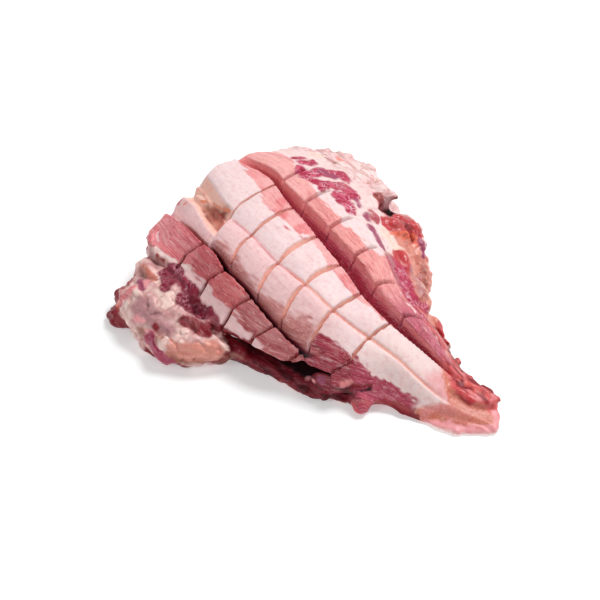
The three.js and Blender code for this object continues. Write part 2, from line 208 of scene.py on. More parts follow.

# Tissues, some of them painted shade: sRGB colour, then how far fibres and wetness show on them, and a pale
# net and specks if any do.
TISSUES = {
    "fat": ((240, 211, 211), 0.15, 0.3),
    "pale_fat": ((240, 212, 209), 0.1, 0.4),
    # Pinker fat, laid as painted shade on the tiles left of the crease, which face away from the light.
    "pink_fat": ((236, 195, 195), 0.2, 0.35),
    # Duller fat of the left side, partly painted shade as that side faces away from the light.
    "dull_fat": ((222, 176, 173), 0, 0.8),
    "cream": ((246, 214, 203), 0, 0.8),
    "white": ((236, 206, 200), 0, 0.5),
    # Greyish membrane, and painted shade in the folds and hollows of the left side.
    "grey": ((172, 122, 126), 0.2, 0.7),
    # Painted shade in the folds of the loose sides, partly their own seams.
    "crease": ((186, 116, 112), 0, 0.7),
    "rosy": ((226, 140, 144), 0.2, 0.4, 0, 0.1),
    # Painted shade: the fat walls of the cuts, laid peach as they look shaded.
    "peach": ((250, 194, 178), 0, 0.3),
    "salmon": ((236, 137, 140), 1, 0.5, 0, 0.1),
    "strip": ((238, 154, 150), 1, 0.5),
    "far_strip": ((192, 84, 106), 1, 0.6),
    "wall_top": ((238, 146, 146), 0.6, 0.5),
    "wall": ((200, 82, 108), 1, 0.6),
    # Painted shade: the cuts' walls, darker deep down.
    "wall_deep": ((172, 62, 92), 1, 0.7),
    "muscle": ((186, 76, 88), 1, 0.6),
    "brown_lean": ((214, 108, 111), 1, 0.6),
    "brown_end": ((180, 88, 80), 0.9, 0.4),
    # Painted shade, deep red, in the cuts and gaps.
    "brown_dark": ((140, 18, 22), 0.3, 0.6),
    "row_lean": ((162, 48, 68), 1, 0.7),
    "low_lean": ((188, 66, 94), 1, 0.7),
    "deep": ((122, 6, 32), 0.3, 0.6),
    # Painted shadow, near-black, where the meat hangs over and at the bottom of cuts and hollows.
    "dark": ((22, 0, 4), 0, 0.4),
    "burgundy": ((120, 12, 44), 0.1, 0.6, 0.7),
    "crimson": ((174, 34, 70), 0.1, 0.55, 1),
    "red": ((196, 56, 62), 0.2, 1, 0.3),
    "bright_red": ((216, 84, 76), 0.2, 1),
    "red_brown": ((150, 60, 56), 0.4, 0.8),
    "dark_red": ((126, 6, 26), 0.3, 0.5),
    "orange": ((236, 118, 94), 0, 0.9, 0, 0.2),
    "tan": ((198, 116, 100), 0.2, 0.9, 0, 0.2),
    "brown": ((160, 98, 86), 0.2, 0.7, 0, 0.2),
    "pale_tan": ((244, 214, 200), 0, 0.6, 0, 0.1),
    "apricot": ((220, 142, 126), 0.2, 0.9, 0, 0.1),
    "first_lean": ((226, 126, 132), 1, 0.6),
    "magenta": ((162, 46, 80), 0.3, 0.8),
    "dusky": ((186, 104, 106), 1, 0.6),
    "shade": ((150, 86, 70), 0, 0.5),
    "rim_line": ((230, 138, 108), 0, 0.6),
    "rim_red": ((158, 54, 60), 0.2, 0.7),
    "clump": ((208, 86, 86), 0.2, 1),
    "purple": ((156, 62, 98), 0.4, 0.8),
    "pink": ((236, 156, 160), 0, 0.6, 0, 0.1),
    "pale_pink": ((246, 200, 196), 0, 0.5, 0, 0.1),
    "rind": ((212, 119, 101), 0, 0.5, 0, 1),
    "line": ((226, 180, 182), 0, 0.4),
}
THIN = ("line", "white", "rim_line")  # drawn without the raggedness of the rest
BLURRED = ("shade", "grey", "brown_dark")  # drawn with wide soft edges
THIN_EDGE = 1.2
SPOT_EDGE = 2.6
BLURRED_EDGE = 8
SPOT_REACH = 5  # how far past its radius a spot still counts

# Spots and strings of tissue, and of painted shade and highlight, each with its radius and the places it runs
# through.
SPOTS = [
    # The left side: burgundy clusters in dull fat.
    ("burgundy", [6.3, (-88, -60, 43), (-82, -55, 42)], [7, (-79, -64, 40), (-78, -58, 41)],
     [4.7, (-76, -71, 40)], [5, (-72, -58, 41), (-62, -59, 40), (-56, -60, 40)], [4.7, (-59, -68, 36)],
     [5.4, (-55, -63, 37), (-48, -64, 35)], [7, (-51, -65, 31), (-42, -63, 31)],
     [6.2, (-35, -64, 34), (-28, -65, 32)]),
    # Painted shade in the recess above the lower lobes and under the left strip's edge: greyish above it,
    # deep red in it.
    ("grey", [2.6, (-43, -72, 32), (-33, -71, 32), (-25, -66, 30)]),
    ("dark_red", [4.8, (-44, -80, 32), (-36, -78, 33), (-27, -77, 32), (-22, -74, 31)],
     [3.4, (-26, -71, 30), (-17, -67, 28), (-7, -63, 29), (7, -61, 31)]),
    ("red_brown", [2.5, (-105, -57, 42)], [2.2, (-99, -56, 41), (-95, -61, 43)]),
    ("tan", [3.8, (-109, -68, 38), (-98, -71, 40), (-91, -72, 39)]),
    ("shade", [2, (-106, -72, 36), (-97, -75, 38)]),
    ("purple", [3.6, (-97, -79, 36), (-90, -81, 37)]),
    ("pink", [2.2, (-93, -76, 38), (-88, -79, 38)]),
    # Painted shade, greyish, over the lower left of the mass.
    ("grey", [4.3, (-79, -91, 33), (-65, -90, 30)],
     [5, (-79, -96, 31), (-65, -96, 28), (-54, -95, 28), (-45, -93, 28)]),
    ("shade", [3, (-69, -103, 19), (-57, -103, 20), (-46, -100, 25)]),
    ("salmon", [5, (-97, -88, 33), (-103, -96, 23), (-103, -101, 15)]),
    ("rim_red", [6, (-108, -80, 26), (-117, -86, 19), (-114, -94, 14), (-103, -101, 14)]),
    ("dark_red", [4, (-120, -84, 14), (-116, -92, 17), (-110, -98, 15)]),
    # A painted highlight, orange, along the far-left rim.
    ("orange", [1.6, (-108, -86, 26), (-110, -93, 20), (-103, -99, 18)]),
    ("dark_red", [10, (-118, -94, 6), (-108, -103, 6), (-98, -107, 5), (-88, -104, 4)],
     [2, (-71, -100, 29), (-62, -98, 30), (-55, -97, 25)]),
    ("pink", [3.1, (-75, -101, 26), (-70, -100, 26)], [3.1, (-61, -101, 21), (-55, -101, 22)]),
    ("dark_red", [4.6, (-57, -105, 6), (-49, -102, 4), (-39, -95, 1)]),
    ("apricot", [9, (-36, -95, 18), (-22, -89, 20), (-14, -78, 20)]),
    ("shade", [5, (-34, -101, 12), (-20, -96, 10), (-6, -82, 10), (-3, -74, 12)]),
    ("dark_red", [6, (-20, -60, 16), (-10, -62, 16), (2, -60, 12)]),
    ("brown", [2, (-12, -68, 17), (-4, -66, 13), (4, -62, 9)]),
    ("dark_red", [4, (-34, -97, 0), (-18, -90, 0), (-4, -74, 1), (4, -64, 8)]),
    ("magenta", [6.4, (-56, -102, 18), (-47, -105, 17), (-40, -105, 10), (-38, -101, 5)]),
    # Painted shade, deep red, along the same recess under the left strip's edge.
    ("deep", [4, (-24, -68, 31), (-6, -63, 29), (12, -61, 28), (26, -57, 25)]),
    # Painted shadow, near-black, in the gap under the last row's lean.
    ("dark", [2.4, (81, -32, 10), (88, -26, 16), (93, -20, 17)]),
    # White edges of the left strip's blocks, the last string a painted highlight along the fourth block's
    # inner edge, and the pale lines that curve through the first.
    ("white", [2, (-129, -17, 44), (-114, -23, 48), (-106, -25, 50)],
     [1.6, (-113, -50, 44), (-100, -52, 44), (-87, -50, 45), (-73, -48, 46)],
     [1.5, (13, -43, 44), (3, -42, 47), (-7, -41, 49)]),
    ("line", [0.8, (-124, -28, 52), (-122, -35, 49), (-116, -40, 47)],
     [0.8, (-127, -33, 47), (-123, -40, 44), (-116, -44, 44)],
     [0.8, (-110, -43, 48), (-97, -45, 50), (-85, -47, 49), (-73, -48, 48)]),
    # Round the sunk tile: painted shade below its rim and at the end of the gap beside it, and the line along
    # its rim.
    ("shade", [4, (-104, 0, 59), (-95, -2, 62), (-84, -3, 66)]),
    ("brown_dark", [2.2, (-92, -1, 62), (-83, -3, 64)]),
    ("rim_line",
     [1, (-130, -6, 52), (-125, 0, 55), (-114, 2, 60), (-102, 3, 64), (-90, 1, 67), (-80, 1, 70)]),
    # The right side: crimson clusters in pale fat.
    ("crimson", [2.8, (-94, 83, 72), (-90, 90, 71)], [4.4, (-86, 84, 71), (-80, 91, 70)],
     [5.2, (-79, 77, 70), (-67, 72, 75)], [5.2, (-68, 79, 73), (-68, 90, 69), (-61, 91, 69)],
     [4.3, (-58, 74, 74), (-52, 77, 71)], [3.5, (-50, 72, 72), (-50, 81, 70)],
     [5.2, (-62, 95, 68), (-56, 101, 66), (-51, 101, 65)]),
    ("purple", [3, (-67, 89, 70), (-60, 91, 69), (-55, 93, 68)]),
    ("crimson", [6, (-47, 83, 68), (-43, 89, 67), (-37, 91, 66)],
     [5.9, (-37, 77, 70), (-33, 81, 68), (-30, 89, 66)],
     [5.1, (-28, 74, 69), (-23, 77, 67), (-18, 74, 67)]),
    ("purple", [2.4, (-26, 88, 65), (-18, 84, 64)]),
    ("pale_tan", [3.6, (-91, 102, 67), (-86, 106, 66)]),
    ("red_brown", [3.1, (-82, 110, 65), (-76, 111, 64)]),
    ("orange", [2.4, (-82, 124, 57), (-74, 124, 57)]),
    ("rosy", [1.2, (-48, 131, 51), (-32, 114, 58), (-25, 108, 57)],
     [1.2, (-51, 131, 50), (-39, 129, 51), (-32, 129, 50)]),
    ("purple", [3, (-11, 83, 61), (-6, 81, 61)]),
    ("muscle", [4.4, (-11, 90, 58), (-4, 88, 58)]),
    ("rosy", [9, (-18, 113, 50), (-10, 108, 50)]),
    # Painted shade in the notch between the fat lobe and the red lumps: a red-brown wall, deep red inside,
    # near-black at the bottom.
    ("red_brown", [6, (-24, 110, 52), (-24, 118, 50), (-25, 126, 46)]),
    ("dark_red", [9, (-20, 126, 42), (-17, 115, 46), (-12, 108, 44), (-4, 106, 44)]),
    ("dark", [4.4, (-18, 122, 38), (-16, 115, 41), (-13, 108, 41)]),
    ("apricot", [14, (4, 112, 38), (26, 100, 32), (45, 88, 30), (60, 74, 30), (72, 64, 28)]),
    ("pale_tan", [5.5, (8, 88, 52), (20, 86, 46), (30, 80, 48)]),
    ("red", [6, (-9, 106, 40), (-8, 115, 41), (5, 117, 41), (12, 117, 36)],
     [7, (-6, 120, 36), (4, 121, 36), (10, 122, 30)]),
    ("orange", [2, (8, 94, 47), (9, 101, 42)]),
    ("red", [7, (-2, 97, 48), (2, 103, 49), (8, 109, 44)]),
    ("rim_red", [3, (-6, 100, 48), (0, 108, 45), (8, 114, 40)]),
    ("orange", [3.4, (11, 101, 42), (15, 109, 39), (18, 115, 32)]),
    ("pale_tan", [1.4, (10, 92, 48), (20, 90, 46), (26, 96, 36), (24, 104, 30)],
     [1.4, (24, 88, 44), (36, 88, 36), (48, 84, 33), (58, 76, 34)]),
    ("purple", [3, (17, 118, 28), (24, 116, 26), (28, 112, 24)],
     [2.8, (0, 76, 60), (8, 74, 58), (16, 71, 57), (25, 67, 56)]),
    ("grey", [3, (30, 67, 54), (40, 64, 52), (51, 58, 48)]),
    ("red", [6, (28, 80, 46), (37, 78, 44), (41, 76, 42)]),
    # A painted highlight, orange, on the lit side of the red lump.
    ("orange", [1.7, (28, 86, 44), (36, 85, 42), (43, 83, 39)]),
    ("crimson", [8, (42, 68, 46), (53, 64, 43), (64, 60, 40)], [6, (66, 60, 38), (74, 60, 32)]),
    ("tan", [6, (30, 104, 26), (41, 98, 24), (50, 88, 24)], [4.1, (62, 69, 37), (69, 66, 36)]),
    ("purple", [2.6, (41, 97, 29), (47, 86, 29)]),
    ("grey", [1.9, (42, 81, 39), (53, 76, 37), (64, 69, 37)]),
    ("brown", [2.6, (38, 101, 27), (47, 93, 26), (55, 86, 24)], [1.9, (60, 74, 33), (68, 70, 34)]),
    ("bright_red", [2.6, (76, 57, 33), (80, 56, 32)]),
    ("dark_red", [2.3, (83, 54, 32), (85, 53, 31)]),
    # The ragged edge down to the tip, and the tip.
    ("red", [3.3, (84, 67, 16), (92, 66, 13), (100, 61, 12)]),
    ("white", [1.5, (88, 67, 14), (91, 67, 12)]),
    ("dark_red", [3.8, (112, 51, 18), (115, 56, 7)]),
    ("red_brown", [2.9, (118, 48, 17), (126, 45, 14)]),
    ("dark_red", [3.8, (122, 50, 11), (133, 46, 11)]),
    ("pale_tan", [2.3, (103, 60, 10), (113, 57, 8)]),
    ("red", [2.4, (139, 26, 18), (145, 28, 15), (151, 29, 14)]),
    ("dark_red", [2, (131, 31, 20), (137, 31, 17), (143, 34, 14)]),
    ("bright_red", [2.4, (140, 37, 15), (148, 36, 15), (154, 39, 13)]),
    ("dark_red", [1.8, (147, 41, 12), (155, 44, 11)]),
    ("pink", [4, (168, 36, 7), (173, 32, 5)],
     [6, (138, -2, 1), (147, 2, 1), (158, 9, 1), (168, 18, 1), (176, 28, 2)]),
    ("pale_pink", [3.2, (138, -4, 0), (147, -1, 0), (159, 6, 0), (170, 16, 0), (177, 28, 1)]),
    # Under the overhang and along the tip's left side.
    ("pink", [2.3, (51, -39, 12), (60, -43, 16)]),
    ("purple", [2.6, (62, -41, 22), (66, -41, 20)]),
    ("salmon", [2.5, (80, -34, 21), (82, -29, 22)]),
    ("dark_red", [2.2, (83, -28, 20), (89, -23, 20), (93, -19, 20)]),
    ("deep", [3, (76, -37, 14), (84, -33, 12), (90, -28, 12)]),
    ("muscle", [3.2, (91, -30, 10), (97, -27, 10)]),
    ("red", [2.8, (90, -32, 5), (95, -34, 5)]),
    ("rim_red", [4, (100, -18, 6), (111, -11, 7), (122, -7, 7)]),
    ("dark_red", [4.2, (107, -15, 2), (117, -11, 3), (127, -7, 2)]),
]

# ---------- small maths


def linear(red, green, blue):
    """An sRGB colour, 0 to 255, as the shader wants it."""
    channel = lambda c: c / 12.92 if c <= 0.04045 else ((c + 0.055) / 1.055) ** 2.4
    return tuple(channel(c / 255) for c in (red, green, blue)) + (1.0,)


def smooth(t):
    t = np.clip(t, 0.0, 1.0)
    return t * t * (3 - 2 * t)


def rise(value, start, width):
    """0 up to start, and 1 from a width past it."""
    return smooth((value - start) / width)


def fall(value, end, width):
    """1 up to a width before the end, and 0 from the end on."""
    return smooth((end - value) / width)


def edge(inside, width):
    """1 inside, 0 outside, with a soft edge of this width."""
    return smooth(inside / width + 0.5)


def hermite(t, h, y0, y1, m0, m1):
    t2, t3 = t * t, t * t * t
    bend = (t3 - 2 * t2 + t) * h * m0 + (t3 - t2) * h * m1
    return (2 * t3 - 3 * t2 + 1) * y0 + (3 * t2 - 2 * t3) * y1 + bend


def tangents(slope, like):
    """Harmonic mean of the slopes on either side of each knot, so the curve never overshoots."""
    m = np.zeros_like(like)
    product = slope[:-1] * slope[1:]
    total = np.where(product > 0, slope[:-1] + slope[1:], 1.0)
    m[1:-1] = np.where(product > 0, 2 * product / total, 0.0)
    return m


def curve(knots, column, x):
    """A smooth line through the knots, flat past its ends."""
    xs = np.array([k[0] for k in knots], float)
    ys = np.array([k[column] for k in knots], float)
    h = np.diff(xs)
    m = tangents(np.diff(ys) / h, ys)
    i = np.clip(np.searchsorted(xs, x, side="right") - 1, 0, len(xs) - 2)
    t = np.clip((x - xs[i]) / h[i], 0, 1)
    return hermite(t, h[i], ys[i], ys[i + 1], m[i], m[i + 1])


def face(x, y):
    """The outer face before it was cut: its height, and y straightened along the guide lines."""
    x, y = np.broadcast_arrays(x, y)
    ys = np.stack([curve(k, 1, x) for k in LINES.values()])
    zs = np.stack([curve(k, 2, x) for k in LINES.values()])
    h = np.diff(ys, axis=0)
    m = tangents(np.diff(zs, axis=0) / h, zs)
    i = (y[None] >= ys[1:-1]).sum(0)[None]
    pick = lambda a, j: np.take_along_axis(a, j, 0)[0]
    t = (y - pick(ys, i)) / pick(h, i)
    c = np.clip(t, 0, 1)
    height = hermite(c, pick(h, i), pick(zs, i), pick(zs, i + 1), pick(m, i), pick(m, i + 1))
    rest = np.stack([np.full(x.shape, curve(k, 1, np.zeros(1))[0]) for k in LINES.values()])
    return height, pick(rest, i) + t * (pick(rest, i + 1) - pick(rest, i))


def closed_curve(points, each=4):
    """Catmull-Rom curve through a ring of points."""
    p = np.array(points, float)
    a, b, c, d = np.roll(p, 1, 0), p, np.roll(p, -1, 0), np.roll(p, -2, 0)
    t = (np.arange(each) / each)[:, None, None]
    q = 0.5 * (2 * b + (c - a) * t + (2 * a - 5 * b + 4 * c - d) * t**2 + (3 * b - a - 3 * c + d) * t**3)
    return q.transpose(1, 0, 2).reshape(-1, 2)


def inside_by(x, y, ring):
    """How far each point lies inside the ring: negative outside."""
    near = np.full(x.shape, 1e9)
    within = np.zeros(x.shape, bool)
    for (ax, ay), (bx, by) in zip(ring, np.roll(ring, -1, 0)):
        ex, ey = bx - ax, by - ay
        t = np.clip(((x - ax) * ex + (y - ay) * ey) / (ex * ex + ey * ey), 0, 1)
        near = np.minimum(near, np.hypot(x - ax - t * ex, y - ay - t * ey))
        if ay != by:
            within ^= ((ay > y) != (by > y)) & (x < ax + (y - ay) / ey * ex)
    return np.where(within, near, -near)


def smooth_max(a, b, k):
    h = np.maximum(k - np.abs(a - b), 0) / k
    return np.maximum(a, b) + h * h * k / 4


def smooth_min(a, b, k):
    return -smooth_max(-a, -b, k)


def noise(p, scale, seed):
    """Smooth value noise from -1 to 1 at points p (..., 3), with lumps about `scale` across."""
    q = np.asarray(p, float) / scale + 1000.0
    base = np.floor(q).astype(np.int64)
    f = q - base
    f = f * f * (3 - 2 * f)
    total = 0.0
    for corner in range(8):
        o = np.array([(corner >> 2) & 1, (corner >> 1) & 1, corner & 1])
        c = base + o
        h = (c[..., 0] * 73856093) ^ (c[..., 1] * 19349663) ^ (c[..., 2] * 83492791) ^ (seed * 2654435761)
        h = ((h ^ (h >> 13)) * 1274126177) & 0xFFFFFFFF
        h = (h ^ (h >> 16)) & 0xFFFF
        w = np.prod(np.where(o == 1, f, 1 - f), axis=-1)
        total = total + w * (h / 32767.5 - 1)
    return total


def grid_noise(axes, scale, seed):
    """The same kind of noise over a whole grid, from a coarse lattice."""
    rng = np.random.default_rng(seed)
    sizes = [int(math.ceil((a[-1] - a[0]) / scale)) + 2 for a in axes]
    out = rng.uniform(-1, 1, sizes).astype(np.float32)
    for axis, a in enumerate(axes):
        q = (a - a[0]) / scale
        i = np.floor(q).astype(int)
        f = (q - i).astype(np.float32)
        f = f * f * (3 - 2 * f)
        shape = [1, 1, 1]
        shape[axis] = len(a)
        f = f.reshape(shape)
        out = np.take(out, i, axis) * (1 - f) + np.take(out, i + 1, axis) * f
    return out


# ---------- the scored face

RING = closed_curve(OUTLINE)


def swing(y, line):
    """How far a cross cut swings towards the tip at y."""
    left, middle = line["left_cut"], line["crease"]
    back = STRIP_SWING * np.clip(left - y, 0, STRIP_SWING_REACH)
    return CUT_SWING * np.clip(middle - y, 0, middle - left) - back


def rows_of(x, y, line):
    """Distance past the nearest cross cut, its half width, and how far through its row a point lies."""
    cuts = [cx + lean * y + swing(y, line) for cx, lean, _ in CROSS_CUTS]
    at = np.stack([np.full(x.shape, ROWS_FROM)] + cuts + [np.full(x.shape, ROWS_TO)])
    i = np.clip((x[None] >= at[1:-1]).sum(0), 0, len(CROSS_CUTS))[None]
    low = np.take_along_axis(at, i, 0)[0]
    high = np.take_along_axis(at, i + 1, 0)[0]
    past = x[None] - at[1:-1]
    nearest = np.abs(past).argmin(0)
    past = np.take_along_axis(past, nearest[None], 0)[0]
    return past, np.array([half for _, _, half in CROSS_CUTS])[nearest], (x - low) / (high - low)


def groove(distance, half, depth):
    """A knife cut: a narrow wedge with softly rounded lips."""
    wedge = depth * np.clip(1 - np.abs(distance) / half, 0, 1) ** 0.75
    return wedge + 0.6 * np.exp(-np.maximum(np.abs(distance) - half, 0) / 1.8)


def leaning_cut(past, half, depth):
    """A cut that gapes: one wall leans back and is seen, the other stands sheer over a narrow slot."""
    wall = 0.55 * depth * np.clip((past + half) / np.maximum(half - SLOT_HALF, 0.1), 0, 1)
    slot = depth * smooth((SLOT_HALF + 0.4 - np.abs(past)) / 0.6)
    return np.maximum(wall * (past < SLOT_HALF), slot)


def hump(y, low, high):
    """1 midway between low and high, 0 at both and beyond."""
    t = np.clip((y - low) / (high - low), 0, 1)
    return 4 * t * (1 - t)


def uncut_top(x, y, wy, line, through, sunk):
    """Height of the face before the cuts, with its bulging rows and tiles and the valley at the crease."""
    left_cut, crease = line["left_cut"], line["crease"]
    bulge = TILE_CROWNS[0] * hump(wy, left_cut, crease) + TILE_CROWNS[1] * hump(wy, crease, line["right_cut"])
    ground = face(x, y)[0] + (1 - 0.6 * rise(x, 10, 30)) * bulge
    ground += STRIP_CROWNS[0] * hump(wy, line["left_rim"], left_cut)
    ground += STRIP_CROWNS[1] * hump(wy, line["right_lip"], line["right_strip"])
    ground += ROW_CROWN * hump(through, 0, 1) * fall(x, 95, 20)
    side = wy - crease
    near_crease = np.where(side > 0, np.clip(1 - side / 13, 0, 1), np.clip(1 + side / 26, 0, 1)) ** 1.4
    ground -= VALLEY * fall(x, 28, 36) * near_crease
    return ground - SUNK_DROP * sunk * fall(wy, crease - 2, 4) * rise(wy, left_cut - 3, 5)


def scored_top(x, y):
    """Height of the cut face, and its height without the cuts."""
    p = np.stack([x, y, np.zeros_like(x)], -1)
    wx = x + 0.9 * noise(p, 22, 5)
    wy = y + 0.9 * noise(p, 20, 6)
    line = {name: curve(k, 1, wx) for name, k in LINES.items()}
    left_cut, right_cut = line["left_cut"], line["right_cut"]
    past, half, through = rows_of(wx, wy, line)
    sunk = fall(wx, SUNK_END + swing(wy, line), 5)
    ground = uncut_top(x, y, wy, line, through, sunk)
    # The cross cuts gape in the middle of the tiles, and run right over the outer strips.
    outer = np.maximum(rise(wy, right_cut, 4), fall(wy, left_cut, 4))
    middle = np.maximum(hump(wy, line["crease"], right_cut), 0.7 * hump(wy, left_cut, line["crease"]))
    half = SLOT_HALF + (half - SLOT_HALF) * middle * (1 - outer) + (SIDE_HALF - SLOT_HALF) * outer
    fade = rise(wy, line["left_rim"] - 2, 5) * fall(wy, line["right_strip"] + 2, 8)
    cross = leaning_cut(past, half, CROSS_DEPTH) * fade * (1 + 0.3 * outer)
    # The long cuts, the crease and the gap beside the sunk tile.
    left = groove(wy - left_cut, LEFT_HALF, LEFT_DEPTH)
    left = left * rise(x, LEFT_SPAN[0], 14) * fall(x, LEFT_SPAN[1], 16)
    across = (wy - right_cut) / (line["right_lip"] - right_cut)
    right = RIGHT_DEPTH * np.clip(np.minimum(across / 0.2, (1 - across) / 0.8), 0, 1)
    right *= rise(x, RIGHT_SPAN[0], 34) * fall(x, RIGHT_SPAN[1], 34)
    side = wy - line["crease"]
    crease = groove(side, CREASE_HALF, CREASE_DEPTH) * fall(x, 148, 30) * rise(x, -20, 30) * (1 - sunk)
    gap = GAP_DEPTH * sunk * np.clip(1.5 - np.abs(side + 4) / 7, 0, 1)
    return ground - np.maximum.reduce([cross, left, right, crease, gap]), ground


def underside(x, y, inside):
    """Height of the underside: flat, rounded near the tip's edge and lifted below the overhang."""
    rounded = 7 * fall(x, 130, 40) * (1 - np.clip(inside / 16, 0, 1)) ** 2
    along = rise(x, OVERHANG_SPAN[0], 22) * fall(x, OVERHANG_SPAN[1], 26)
    reach = curve(LINES["right_cut"], 1, x) - OVERHANG_ROOT + OVERHANG_REACH - y
    return np.maximum(rounded, OVERHANG_RISE * along * smooth(reach / OVERHANG_REACH))


# ---------- the solid field and its skin


def ellipsoid(axes, centre, radii, turn):
    """The block of the grid round an ellipsoid, and its field there."""
    reach = max(radii[:2]) * 1.25 + 8
    block = tuple(
        slice(*np.searchsorted(a, (c - r, c + r)))
        for a, c, r in zip(axes, centre, (reach, reach, radii[2] * 1.25 + 8))
    )
    x, y, z = np.meshgrid(*(a[b] - c for a, b, c in zip(axes, block, centre)), indexing="ij", sparse=True)
    ca, sa = math.cos(math.radians(turn)), math.sin(math.radians(turn))
    u, w = (x * ca + y * sa) / radii[0], (y * ca - x * sa) / radii[1]
    return block, ((1 - np.sqrt(u * u + w * w + (z / radii[2]) ** 2)) * min(radii)).astype(np.float32)


def looseness(x, y):
    """0 on the firm scored face, 1 on the ragged sides."""
    strip = curve(LINES["right_strip"], 1, x)
    left = fall(y, curve(LINES["left_rim"], 1, x) + 2, 8) * (0.85 - 0.5 * rise(x, -8, 20))
    reach = 0.3 * (curve(LINES["right_rim"], 1, x) - strip)
    return np.maximum.reduce([left, 0.2 * rise(y, strip, 10), rise(y, strip + reach, reach)])


def tall(flat):
    """A value for each column of the grid, ready to meet values that change with height."""
    return flat[:, :, None].astype(np.float32)


def meat_field():
    axes = [np.arange(low, high, VOXEL) for low, high in zip(GRID_LOW, GRID_HIGH)]
    axes.append((np.arange(int(GRID_TOP / VOXEL)) - 1.5) * VOXEL)
    x, y = np.meshgrid(axes[0], axes[1], indexing="ij")
    z = axes[2][None, None].astype(np.float32)
    top = scored_top(x, y)[0]
    inside = inside_by(x, y, RING)
    bottom = underside(x, y, inside)
    coarse = grid_noise(axes, 13, 1)
    fine = grid_noise(axes, 5.5, 2)
    broad = grid_noise(axes, 27, 7)
    wrinkle = grid_noise((axes[0] / 3.5, axes[1], axes[2]), 3.4, 4)
    loose = tall(looseness(x, y))
    side = tall(inside) + 2.2 * coarse + 1.2 * fine  # the outline wanders a little
    field = smooth_min(tall(top) - z, side, 6)
    field = smooth_min(field, z - tall(bottom), 5)
    for lump in LUMPS + KNOBS:
        block, ball = ellipsoid(axes, *lump)
        field[block] = smooth_max(field[block], ball, 4)
    # The loose sides swell and sink, and fold in where the noise passes through nought.
    folds = -1.0 * np.exp(-((coarse / 0.07) ** 2)) - 0.7 * np.exp(-((fine / 0.16) ** 2))
    ragged_flap = rise(x, -30, 10) * fall(x, 100, 10) * fall(y, -22, 8)
    loose = np.maximum(loose, 0.4 * tall(ragged_flap) * fall(z, 14, 4))
    field += loose * (2.4 * broad + 1.1 * coarse + 0.6 * fine + 1.0 * wrinkle + folds) + 0.12 * fine
    for hollow in HOLLOWS:
        block, ball = ellipsoid(axes, *hollow)
        field[block] = smooth_min(field[block], -ball - 1.0 * fine[block], 3)
    return np.minimum(field, z), np.array([a[0] for a in axes]), (coarse, fine)


def skin(field, low, step):
    """Surface nets: the closed quad mesh of field = 0, facing out."""
    full = field > 0
    size = np.array(full.shape) - 1
    corners = itertools.product((0, 1), repeat=3)
    count = sum(full[tuple(map(slice, o, size + o))].astype(np.int8) for o in corners)
    mixed = (count > 0) & (count < 8)
    cells = np.argwhere(mixed)
    index = np.full(mixed.shape, -1, np.int64)
    index[mixed] = np.arange(len(cells))
    place = np.zeros((len(cells), 3))
    hits = np.zeros(len(cells))
    for axis, b, c in itertools.product(range(3), (0, 1), (0, 1)):
        start = np.insert([b, c], axis, 0)
        along = np.insert([0, 0], axis, 1)
        f0, f1 = (field[tuple((cells + o).T)] for o in (start, start + along))
        cross = (f0 > 0) != (f1 > 0)
        t = np.where(cross, f0 / np.where(cross, f0 - f1, 1), 0)
        place += np.where(cross[:, None], start + t[:, None] * along, 0)
        hits += cross
    vertices = low + step * (cells + place / hits[:, None])
    quads = []
    for axis in range(3):
        u, w = (a for a in range(3) if a != axis)
        lower = np.take(full, range(size[axis]), axis)
        upper = np.take(full, range(1, size[axis] + 1), axis)
        at = np.argwhere(lower != upper)
        at = at[(at[:, u] > 0) & (at[:, w] > 0)]
        ring = []
        for du, dw in ((0, 0), (1, 0), (1, 1), (0, 1)):
            corner = at.copy()
            corner[:, u] -= du
            corner[:, w] -= dw
            ring.append(index[tuple(corner.T)])
        ring = np.stack(ring, 1)
        inward = lower[tuple(at.T)] != (axis != 1)
        ring[inward] = ring[inward, ::-1]
        quads.append(ring)
    return vertices, np.concatenate(quads)


def edges_of(quads):
    e = np.concatenate([quads[:, [i, (i + 1) % 4]] for i in range(4)])
    return np.unique(np.sort(e, 1), axis=0)


def keep_biggest(vertices, quads):
    """Drops the crumbs that the noise left loose."""
    edges = edges_of(quads)
    label = np.arange(len(vertices))
    while True:
        low = np.minimum(label[edges[:, 0]], label[edges[:, 1]])
        new = label.copy()
        np.minimum.at(new, edges[:, 0], low)
        np.minimum.at(new, edges[:, 1], low)
        new = new[new]
        if (new == label).all():
            break
        label = new
    names, sizes = np.unique(label, return_counts=True)
    keep = label == names[sizes.argmax()]
    renumber = np.cumsum(keep) - 1
    return vertices[keep], renumber[quads[keep[quads[:, 0]]]]


def relax(vertices, edges, rounds):
    """Taubin smoothing: takes off the grid's steps without shrinking the meat."""
    v = vertices.copy()
    degree = np.bincount(edges.ravel(), minlength=len(v))[:, None]
    for step in (0.5, -0.53) * rounds:
        mean = np.zeros_like(v)
        for axis in range(3):
            mean[:, axis] = np.bincount(edges[:, 0], v[edges[:, 1], axis], len(v))
            mean[:, axis] += np.bincount(edges[:, 1], v[edges[:, 0], axis], len(v))
        v += step * (mean / degree - v)
    return v


# ---------- paint


def tissue(name):
    """One tissue's row: linear colour, then its fibre, net, speck and wet amounts."""
    colour, fibre, wet, net, speck = (*TISSUES[name], 0, 0)[:5]
    return np.array([*linear(*colour)[:3], fibre, net, speck, wet])


def band(value, low, high, soft):
    """1 where value is between low and high, 0 outside, with soft edges."""
    return edge(value - low, soft) * edge(high - value, soft)


